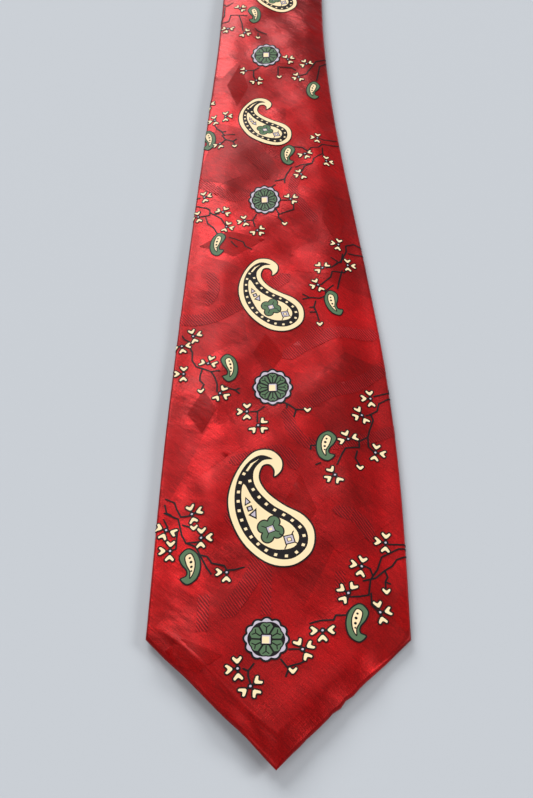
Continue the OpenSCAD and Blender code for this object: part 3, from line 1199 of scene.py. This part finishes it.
def satin_material(name, deep, light, rough, metal=0.45, ribs=0.0, coat=0.135):
    """Printed silk satin: fine threads on the bias, woven patches whose differing sheen is painted into the
    base colour, cloudy gloss and slight creases.
    """
    material, tree, shader = new_material(name)
    place = cloth_place(tree)
    clouds = noise(tree, place, 2.6, 4.0, 0.55)
    colour = ramp(tree, clouds, [(0.35, deep), (0.68, light)])
    patches = add(tree, "ShaderNodeTexVoronoi", Scale=3.4, Randomness=0.9)
    bent = cloth_place(tree, 20, 1.4)
    tree.links.new(bent, patches.inputs["Vector"])
    patch = add(tree, "ShaderNodeSeparateColor")
    tree.links.new(patches.outputs["Color"], patch.inputs[0])
    # Painted sheen: each woven patch's base colour is darkened by a random share down to 0.72, standing in
    # for the patches' differing gloss; their roughness differs too, below.
    painted_patch_sheen = ramp(tree, patch.outputs[0], [(0.0, grey(0.72)), (1.0, grey(1.0))])
    threads = noise(tree, cloth_place(tree, 45, 14), 260, 2.0)
    cross = noise(tree, cloth_place(tree, -45, 10), 200, 2.0)
    grain = noise(tree, place, 190, 3.0, 0.7)
    colour = multiply(tree, colour, painted_patch_sheen)
    colour = multiply(tree, colour, ramp(tree, threads, [(0.3, grey(0.6)), (0.7, grey(1.0))]))
    colour = multiply(tree, colour, ramp(tree, grain, [(0.35, grey(0.55)), (0.65, grey(1.0))]))
    heights = [(threads, 0.45, 0.0002), (cross, 0.4, 0.0002), (grain, 0.4, 0.0002)]
    if ribs:
        wave = add(tree, "ShaderNodeTexWave", Scale=ribs, Distortion=1.5, Detail=1.0)
        tree.links.new(cloth_place(tree, 35), wave.inputs["Vector"])
        rib_tone = ramp(tree, wave.outputs["Fac"], [(0.2, grey(0.4)), (0.8, grey(1.0))])
        colour = multiply(tree, colour, rib_tone)
        heights.append((wave.outputs["Fac"], 0.6, 0.0002))
    tree.links.new(colour, shader.inputs["Base Color"])
    gloss = noise(tree, place, 5.5, 5.0, 0.6)
    spread = add(tree, "ShaderNodeMix", data_type="FLOAT")
    spread.inputs[0].default_value = 0.78
    tree.links.new(gloss, spread.inputs[2])
    tree.links.new(patch.outputs[1], spread.inputs[3])
    level = ramp(tree, spread.outputs[0], [(0.2, grey(rough - 0.1)), (0.8, grey(rough + 0.1))])
    tree.links.new(level, shader.inputs["Roughness"])
    creases = noise(tree, cloth_place(tree, 52, 2.4), 11.0, 2.5, 0.5)
    crumpled = ramp(tree, noise(tree, place, 1.7, 2.0), [(0.42, grey(0.25)), (0.6, grey(1.0))])
    creases = multiply(tree, creases, crumpled)
    bump(tree, shader, [(creases, 0.8, 0.002), *heights])
    set_values(shader, {
        "Metallic": metal,
        "Specular IOR Level": 0.07,
        "Coat Weight": coat,
        "Coat Roughness": 0.42,
        "Coat Tint": (1.0, 0.86, 0.95, 1.0),
        "Sheen Weight": 0.03,
        "Sheen Roughness": 0.45,
        "Sheen Tint": (1.0, 0.35, 0.4, 1.0),
    })
    return material


def ink_material(name, colour, rough=0.5):
    """Dye on the satin: one even colour, with the cloth's thread in its surface."""
    material, tree, shader = new_material(name)
    set_values(shader, {"Base Color": colour, "Specular IOR Level": 0.12})
    threads = noise(tree, cloth_place(tree, 45, 14), 260, 2.0)
    gloss = ramp(tree, threads, [(0.3, grey(rough - 0.06)), (0.7, grey(rough + 0.08))])
    tree.links.new(gloss, shader.inputs["Roughness"])
    bump(tree, shader, [(threads, 0.3, 0.0002)])
    return material


def woven_material(name, colour, light, rough, scale, turn, rib=0.5):
    """A plain woven cloth seen close: ribs across threads."""
    material, tree, shader = new_material(name)
    place = cloth_place(tree, turn)
    wave = add(tree, "ShaderNodeTexWave", Scale=scale, Distortion=1.2, Detail=2.0)
    wave.inputs["Detail Scale"].default_value = 2.0
    tree.links.new(place, wave.inputs["Vector"])
    clouds = noise(tree, place, 3.0, 3.0)
    tone = ramp(tree, clouds, [(0.3, colour), (0.7, light)])
    ribs = ramp(tree, wave.outputs["Fac"], [(0.2, grey(0.55)), (0.8, grey(1.0))])
    tree.links.new(multiply(tree, tone, ribs, rib), shader.inputs["Base Color"])
    fuzz = noise(tree, place, 60, 3.0)
    gloss = ramp(tree, fuzz, [(0.3, grey(rough - 0.08)), (0.7, grey(rough + 0.08))])
    tree.links.new(gloss, shader.inputs["Roughness"])
    bump(tree, shader, [(wave.outputs["Fac"], 0.4, 0.0002), (fuzz, 0.25, 0.0002)])
    return material


def floor_material():
    material, _, shader = new_material("pale_floor")
    colour = rgb(184, 188, 193)
    set_values(shader, {"Base Color": colour, "Roughness": 0.9, "Specular IOR Level": 0.15})
    return material


DEEP_RED = rgb(164, 3, 3)
MID_RED = rgb(222, 14, 20)
satin = satin_material("red_satin", DEEP_RED, MID_RED, 0.38)
# The woven figures are the satin again with their own gloss and ribs; the bright and ribbed figures'
# lighter reds are painted sheen, and the dull figures' darker red is painted shade.
figure_cloths = [
    satin_material("figure_dull", rgb(170, 3, 4), rgb(190, 6, 7), 0.55, 0.15, coat=0.03),
    satin_material("figure_bright", rgb(178, 5, 8), rgb(232, 20, 26), 0.38, 0.45),
    satin_material("figure_ribbed", rgb(200, 10, 12), rgb(244, 34, 42), 0.42, 0.4, 30),
]
inks = [
    ink_material("ink_cream", rgb(240, 216, 172)),
    ink_material("ink_black", rgb(20, 15, 18)),
    ink_material("ink_green", rgb(84, 110, 80)),
    ink_material("ink_lavender", rgb(188, 178, 190)),
]
canvas = woven_material("wool_canvas", rgb(206, 196, 172), rgb(226, 217, 194), 0.85, 90, 0)
lining = woven_material("tipping_silk", rgb(112, 12, 16), rgb(142, 22, 26), 0.5, 160, 45, 0.25)
label_cloth = woven_material("label_cloth", rgb(28, 26, 34), rgb(40, 38, 48), 0.55, 150, 0, 0.3)
red_thread = woven_material("red_thread", rgb(150, 22, 26), rgb(184, 40, 40), 0.55, 400, 60)
label_thread = woven_material("label_thread", rgb(206, 178, 120), rgb(224, 200, 150), 0.5, 400, 60)


# ---------------------------------------------------------------- pieces


PANELS = {"front_blade": blade, "tail": tail}

# Heights above the cloth of the printed ink and of the woven figures, which overlap in thin layers.
INK_LIFT = 0.17
WEAVE_LIFT = 0.08
WEAVE_GAP = 0.0015

# An inner layer's slot and material, its inset from the outline, and its sides' heights above the back.
LINING = ("tipping", lining, 3.0, 0.5, 0.8)
FILLING = ("canvas", canvas, 2.0, 0.9, 2.3)
BLADE_LINING_END = 170.0
TAIL_LINING_END = 100.0

# The longest side left in a small sewn piece, so that it bends with the cloth.
LONGEST_SIDE = 3.0


def attach(piece, body, nodes=()):
    """Puts a piece on a body; where body is None it goes on neither and keeps its place in its mesh."""
    if body:
        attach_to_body(piece, body)
    else:
        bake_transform(piece)
    if nodes:
        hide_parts(*nodes)
    return piece


def follow_node(body, name, node, material, slot, lift):
    """A CAD node's small piece, cut finer and moved with the cloth that it is sewn to."""
    shape = bmesh.new()
    shape.from_mesh(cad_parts[node].data)
    bmesh.ops.remove_doubles(shape, verts=shape.verts, dist=0.001 * MM)
    for _ in range(5):
        long = [edge for edge in shape.edges if edge.calc_length() > LONGEST_SIDE * MM]
        if long:
            bmesh.ops.subdivide_edges(shape, edges=long, cuts=1)
            bmesh.ops.triangulate(shape, faces=[f for f in shape.faces if len(f.verts) > 4])
    points = np.array([v.co for v in shape.verts], float).reshape(-1, 3) / MM
    faces = [tuple(v.index for v in f.verts) for f in shape.faces]
    shape.free()
    placed = PANELS[body].lie(points) - (0, 0, lift)
    piece = make_mesh(name, placed, faces, [material], points[:, :2])
    piece.data.polygons.foreach_set("use_smooth", [False] * len(faces))
    return attach(piece, body, [node])


def cut_size(reach, start, end):
    """A piece of cloth before folding: (widest, length) in metres and its area in square metres."""
    s = np.linspace(start, end, 200)
    wide = 2 * np.array([float(reach(at)) for at in s])
    area = float(np.sum((wide[1:] + wide[:-1]) / 2 * np.diff(s)))
    return (float(wide.max()) * MM, (end - start) * MM), area * MM * MM


front = attach(folded_cloth("front_cloth", blade, satin), "front_blade", ["front_shell"])
back = attach(folded_cloth("tail_cloth", tail, satin), "tail", ["tail_shell"])
neck = neck_cloth("neck_cloth", satin)
attach(neck, None, ["front_neck_shell", "neck_bend_shell", "tail_neck_shell"])

neck_sheet = Neck()
prints = {}
for body, piece_name, panel, figures in (
    ("front_blade", "front_print", blade, blade_print()),
    ("tail", "tail_print", tail, tail_print()),
    (None, "neck_print", neck_sheet, neck_print()),
):
    points, places, faces, colours = ink_layer(panel, figures, INK_LIFT)
    prints[body] = attach(make_mesh(piece_name, points, faces, inks, places, colours), body)

points, places, faces, weaves = ink_layer(blade, woven_figures(), WEAVE_LIFT, WEAVE_GAP)
front_figures = make_mesh("front_woven_figures", points, faces, figure_cloths, places, weaves)
attach(front_figures, "front_blade")

layers = []
for piece_name, body, node, kind, end, lies_on in (
    ("front_lining", "front_blade", "front_tipping", LINING, BLADE_LINING_END, "front_filling"),
    ("tail_lining", "tail", "tail_tipping", LINING, TAIL_LINING_END, "tail_filling"),
    ("front_filling", "front_blade", "front_interlining", FILLING, BLADE_SEAM, "front_cloth"),
    ("tail_filling", "tail", "tail_interlining", FILLING, TAIL_SEAM, "tail_cloth"),
):
    slot, material, inset, low, high = kind
    layer = slab(piece_name, PANELS[body], inset, low, high, end, material)
    attach(layer, body, [node])
    layers.append((layer, PANELS[body], inset, end, lies_on))
attach(neck_filling("neck_filling", canvas), None, ["neck_bend_interlining"])

sewn = {}
for body, rows in (
    ("front_blade", (
        ("front_seam", "front_piecing_seam", red_thread, "thread", 0),
        ("front_tip_stitching", "front_tip_stitches", red_thread, "thread", 0),
        ("front_tack", "front_bar_tack", red_thread, "thread", 0),
        ("front_slip_stitching", "front_slip_stitch", red_thread, "thread", 0),
        ("keeper", "keeper_loop", satin, "satin", 0.2),
        ("keeper_stitching", "keeper_tacks", red_thread, "thread", 0.2),
        ("blank_label", "maker_label", label_cloth, "label", 0.25),
        ("label_stitching", "label_stitches", label_thread, "label_thread", 0.25),
    )),
    ("tail", (
        ("rear_seam", "rear_piecing_seam", red_thread, "thread", 0),
        ("tail_tip_stitching", "tail_tip_stitches", red_thread, "thread", 0),
        ("tail_tack", "tail_bar_tack", red_thread, "thread", 0),
        ("tail_slip_stitching", "tail_slip_stitch", red_thread, "thread", 0),
    )),
):
    sewn[body] = [follow_node(body, *row) for row in rows]

for cloth, panel, lies_on, pieces_on in (
    (front, blade, "tail_cloth", [*sewn["front_blade"], prints["front_blade"], front_figures]),
    (back, tail, "floor", [*sewn["tail"], prints["tail"]]),
):
    (widest, _), area = cut_size(panel.reach, panel.corner_s, panel.seam)
flat_size, area = cut_size(neck_sheet.reach, neck_sheet.stations[0, 5], neck_sheet.stations[-1, 5])
for layer, panel, inset, end, lies_on in layers:
    x, s = layer_grid(panel, inset, end)


# ---------------------------------------------------------------- floor, lights and camera

FLOOR_HALF = 40
FLOOR_Z = -0.0004

floor_mesh = bpy.data.meshes.new("floor")
floor_corners = [(x * FLOOR_HALF, y * FLOOR_HALF, FLOOR_Z) for x, y in ((-1, -1), (1, -1), (1, 1), (-1, 1))]
floor_mesh.from_pydata(floor_corners, [], [(0, 1, 2, 3)])
floor_mesh.materials.append(floor_material())
floor = bpy.data.objects.new("floor", floor_mesh)
bpy.context.scene.collection.objects.link(floor)


def soft_sun(name, towards, strength, spread):
    """Even light from far away; towards points at it and spread is its width in degrees."""
    light = bpy.data.lights.new(name, "SUN")
    light.energy = strength
    light.angle = math.radians(spread)
    lamp = bpy.data.objects.new(name, light)
    lamp.rotation_euler = Vector(towards).to_track_quat("Z", "Y").to_euler()
    bpy.context.scene.collection.objects.link(lamp)


for light_name, towards, strength, spread in (
    ("key", (1.2, 0.15, 0.7), 1.5, 20),
    ("fill", (-0.7, -1.2, 1.5), 1.1, 50),
    ("sheen_far", (-0.46, 1.15, 0.76), 2.5, 34),
    ("sheen_near", (0.25, 0.6, 1.1), 0.25, 26),
):
    soft_sun(light_name, towards, strength, spread)

world = bpy.data.worlds.new("soft_room")
world.use_nodes = True
background = world.node_tree.nodes["Background"]
background.inputs["Color"].default_value = (0.93, 0.96, 1.0, 1.0)
background.inputs["Strength"].default_value = 0.26
bpy.context.scene.world = world
bpy.context.scene.view_settings.view_transform = "Standard"

# The camera stands off the tip and looks down at the tie; its tilt is measured from straight down.
CAMERA_X = -0.0043
CAMERA_BEFORE_TIP = 0.1356
CAMERA_HEIGHT = 0.3957
CAMERA_TILT = 37.64

camera_data = bpy.data.cameras.new("camera")
camera_data.lens = 50
camera_data.sensor_width = 36
camera_data.clip_start = 0.01
camera = bpy.data.objects.new("camera", camera_data)
camera.location = (CAMERA_X, BLADE_TIP * MM - CAMERA_BEFORE_TIP, CAMERA_HEIGHT)
camera.rotation_euler = (math.radians(CAMERA_TILT), 0, 0)
bpy.context.scene.collection.objects.link(camera)
bpy.context.scene.camera = camera
